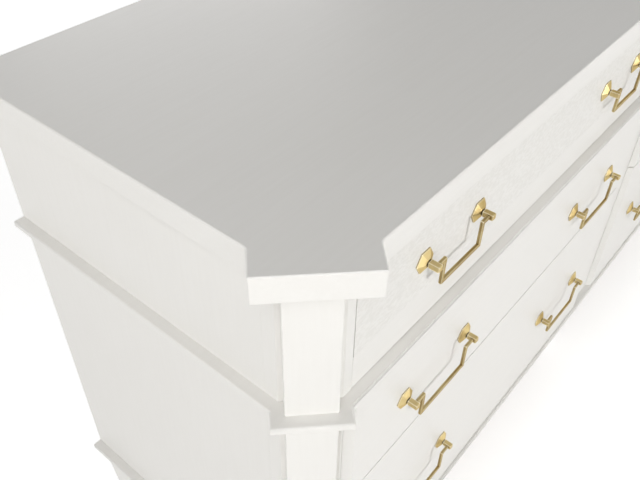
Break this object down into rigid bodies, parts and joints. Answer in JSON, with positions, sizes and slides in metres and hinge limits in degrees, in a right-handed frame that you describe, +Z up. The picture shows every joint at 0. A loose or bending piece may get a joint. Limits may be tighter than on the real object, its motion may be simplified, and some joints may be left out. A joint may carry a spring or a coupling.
{
  "type": "campaign chest of drawers",
  "caption": "Low wide chest with two columns of sliding drawers, canted pilaster corners under an eared top, moulding bands and square brass drop bail pulls.",
  "frame": {"origin": "on the floor, under the middle of the overall box", "axes": "+X to the right along the front, +Y to the back, +Z up; the drawers open towards -Y"},
  "size_m": [1.7646, 0.5082, 0.8634],
  "materials": {
    "white_lacquer": "satin white lacquer",
    "back_board": "painted hardboard",
    "drawer_wood": "clear sealed poplar",
    "grasscloth": "painted woven texture",
    "brass": "satin aged brass",
    "glide_nylon": "dark nylon"
  },
  "bodies": {
    "case": {"top_board": "white_lacquer", "side_panel_left": "white_lacquer", "side_panel_right": "white_lacquer", "corner_post_left": "white_lacquer", "corner_post_right": "white_lacquer", "upper_pilaster_left": "white_lacquer", "upper_pilaster_right": "white_lacquer", "lower_pilaster_left": "white_lacquer", "lower_pilaster_right": "white_lacquer", "waist_moulding": "white_lacquer", "base_moulding": "white_lacquer", "back_panel": "back_board", "bottom_board": "drawer_wood", "centre_stile": "white_lacquer", "centre_partition": "drawer_wood", "front_rails": "white_lacquer", "drawer_runners": "drawer_wood", "front_foot_left": "white_lacquer", "front_foot_right": "white_lacquer", "square_feet": "white_lacquer", "apron_rails": "white_lacquer", "floor_glides": "glide_nylon"},
    "drawer_top_left": {"drawer_top_left_front": "white_lacquer", "drawer_top_left_inlay": "grasscloth", "drawer_top_left_box": "drawer_wood", "drawer_top_left_bottom": "drawer_wood", "drawer_top_left_pull_posts": "brass"},
    "drawer_top_left_bail_left": {"drawer_top_left_bail_left": "brass"},
    "drawer_top_left_bail_right": {"drawer_top_left_bail_right": "brass"},
    "drawer_middle_left": {"drawer_middle_left_front": "white_lacquer", "drawer_middle_left_box": "drawer_wood", "drawer_middle_left_bottom": "drawer_wood", "drawer_middle_left_pull_posts": "brass"},
    "drawer_middle_left_bail_left": {"drawer_middle_left_bail_left": "brass"},
    "drawer_middle_left_bail_right": {"drawer_middle_left_bail_right": "brass"},
    "drawer_bottom_left": {"drawer_bottom_left_front": "white_lacquer", "drawer_bottom_left_box": "drawer_wood", "drawer_bottom_left_bottom": "drawer_wood", "drawer_bottom_left_pull_posts": "brass"},
    "drawer_bottom_left_bail_left": {"drawer_bottom_left_bail_left": "brass"},
    "drawer_bottom_left_bail_right": {"drawer_bottom_left_bail_right": "brass"},
    "drawer_top_right": {"drawer_top_right_front": "white_lacquer", "drawer_top_right_inlay": "grasscloth", "drawer_top_right_box": "drawer_wood", "drawer_top_right_bottom": "drawer_wood", "drawer_top_right_pull_posts": "brass"},
    "drawer_top_right_bail_left": {"drawer_top_right_bail_left": "brass"},
    "drawer_top_right_bail_right": {"drawer_top_right_bail_right": "brass"},
    "drawer_middle_right": {"drawer_middle_right_front": "white_lacquer", "drawer_middle_right_box": "drawer_wood", "drawer_middle_right_bottom": "drawer_wood", "drawer_middle_right_pull_posts": "brass"},
    "drawer_middle_right_bail_left": {"drawer_middle_right_bail_left": "brass"},
    "drawer_middle_right_bail_right": {"drawer_middle_right_bail_right": "brass"},
    "drawer_bottom_right": {"drawer_bottom_right_front": "white_lacquer", "drawer_bottom_right_box": "drawer_wood", "drawer_bottom_right_bottom": "drawer_wood", "drawer_bottom_right_pull_posts": "brass"},
    "drawer_bottom_right_bail_left": {"drawer_bottom_right_bail_left": "brass"},
    "drawer_bottom_right_bail_right": {"drawer_bottom_right_bail_right": "brass"}
  },
  "joints": [
    {"name": "drawer_top_left_slide", "type": "slide", "parent": "case", "child": "drawer_top_left", "axis": [0, -1, 0], "range_m": [0, 0.33]},
    {"name": "drawer_top_left_bail_left_swing", "type": "hinge", "parent": "drawer_top_left", "child": "drawer_top_left_bail_left", "pos_m": [-0.6275, -0.22575, 0.7539], "axis": [-1, 0, 0], "range_deg": [-19, 95]},
    {"name": "drawer_top_left_bail_right_swing", "type": "hinge", "parent": "drawer_top_left", "child": "drawer_top_left_bail_right", "pos_m": [-0.2005, -0.22575, 0.7539], "axis": [-1, 0, 0], "range_deg": [-19, 95]},
    {"name": "drawer_middle_left_slide", "type": "slide", "parent": "case", "child": "drawer_middle_left", "axis": [0, -1, 0], "range_m": [0, 0.33]},
    {"name": "drawer_middle_left_bail_left_swing", "type": "hinge", "parent": "drawer_middle_left", "child": "drawer_middle_left_bail_left", "pos_m": [-0.6315, -0.23525, 0.5592], "axis": [-1, 0, 0], "range_deg": [-17, 95]},
    {"name": "drawer_middle_left_bail_right_swing", "type": "hinge", "parent": "drawer_middle_left", "child": "drawer_middle_left_bail_right", "pos_m": [-0.1965, -0.23525, 0.5592], "axis": [-1, 0, 0], "range_deg": [-17, 95]},
    {"name": "drawer_bottom_left_slide", "type": "slide", "parent": "case", "child": "drawer_bottom_left", "axis": [0, -1, 0], "range_m": [0, 0.33]},
    {"name": "drawer_bottom_left_bail_left_swing", "type": "hinge", "parent": "drawer_bottom_left", "child": "drawer_bottom_left_bail_left", "pos_m": [-0.6315, -0.23525, 0.3255], "axis": [-1, 0, 0], "range_deg": [-17, 95]},
    {"name": "drawer_bottom_left_bail_right_swing", "type": "hinge", "parent": "drawer_bottom_left", "child": "drawer_bottom_left_bail_right", "pos_m": [-0.1965, -0.23525, 0.3255], "axis": [-1, 0, 0], "range_deg": [-17, 95]},
    {"name": "drawer_top_right_slide", "type": "slide", "parent": "case", "child": "drawer_top_right", "axis": [0, -1, 0], "range_m": [0, 0.33]},
    {"name": "drawer_top_right_bail_left_swing", "type": "hinge", "parent": "drawer_top_right", "child": "drawer_top_right_bail_left", "pos_m": [0.2005, -0.22575, 0.7539], "axis": [-1, 0, 0], "range_deg": [-19, 95]},
    {"name": "drawer_top_right_bail_right_swing", "type": "hinge", "parent": "drawer_top_right", "child": "drawer_top_right_bail_right", "pos_m": [0.6275, -0.22575, 0.7539], "axis": [-1, 0, 0], "range_deg": [-19, 95]},
    {"name": "drawer_middle_right_slide", "type": "slide", "parent": "case", "child": "drawer_middle_right", "axis": [0, -1, 0], "range_m": [0, 0.33]},
    {"name": "drawer_middle_right_bail_left_swing", "type": "hinge", "parent": "drawer_middle_right", "child": "drawer_middle_right_bail_left", "pos_m": [0.1965, -0.23525, 0.5592], "axis": [-1, 0, 0], "range_deg": [-17, 95]},
    {"name": "drawer_middle_right_bail_right_swing", "type": "hinge", "parent": "drawer_middle_right", "child": "drawer_middle_right_bail_right", "pos_m": [0.6315, -0.23525, 0.5592], "axis": [-1, 0, 0], "range_deg": [-17, 95]},
    {"name": "drawer_bottom_right_slide", "type": "slide", "parent": "case", "child": "drawer_bottom_right", "axis": [0, -1, 0], "range_m": [0, 0.33]},
    {"name": "drawer_bottom_right_bail_left_swing", "type": "hinge", "parent": "drawer_bottom_right", "child": "drawer_bottom_right_bail_left", "pos_m": [0.1965, -0.23525, 0.3255], "axis": [-1, 0, 0], "range_deg": [-17, 95]},
    {"name": "drawer_bottom_right_bail_right_swing", "type": "hinge", "parent": "drawer_bottom_right", "child": "drawer_bottom_right_bail_right", "pos_m": [0.6315, -0.23525, 0.3255], "axis": [-1, 0, 0], "range_deg": [-17, 95]}
  ]
}
